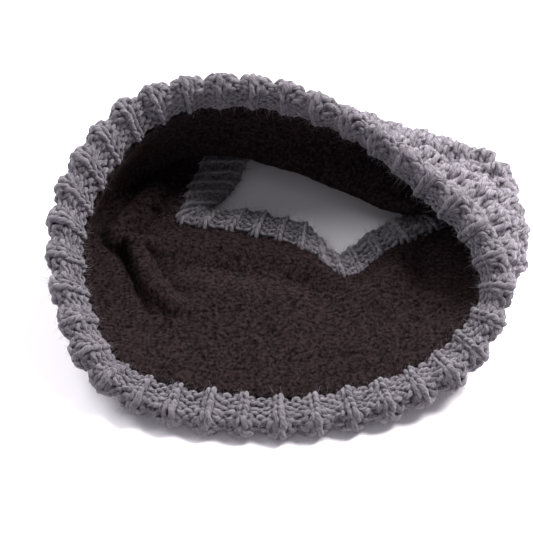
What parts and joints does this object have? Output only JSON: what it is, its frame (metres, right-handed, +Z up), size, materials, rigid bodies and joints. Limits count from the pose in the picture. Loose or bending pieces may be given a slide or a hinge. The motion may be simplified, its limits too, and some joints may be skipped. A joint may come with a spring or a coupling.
{
  "type": "neck gaiter",
  "caption": "Soft chunky-knit neck warmer tube with ribbed turned hems and a dark fleece lining, slumped open on a flat surface",
  "frame": {"origin": "centre of the bounding box at the level of the table it lies on", "axes": "+Z up from the table, -Y towards the near edge of the upper neck opening, +X to the wearer-side right seen from the near edge"},
  "size_m": [0.212, 0.205, 0.0706],
  "materials": {
    "grey_yarn": "soft two-ply wool-blend yarn with a light fibre halo",
    "dark_fleece": "matt pilled polar fleece",
    "dark_thread": "matt spun sewing thread"
  },
  "bodies": {
    "root": {"knit_body": "grey_yarn", "upper_rib_hem": "grey_yarn", "lower_rib_hem": "grey_yarn", "fleece_lining": "dark_fleece", "knit_side_seam": "grey_yarn", "lining_side_seam": "dark_fleece", "upper_hem_stitching": "dark_thread", "lower_hem_stitching": "dark_thread"}
  },
  "joints": []
}
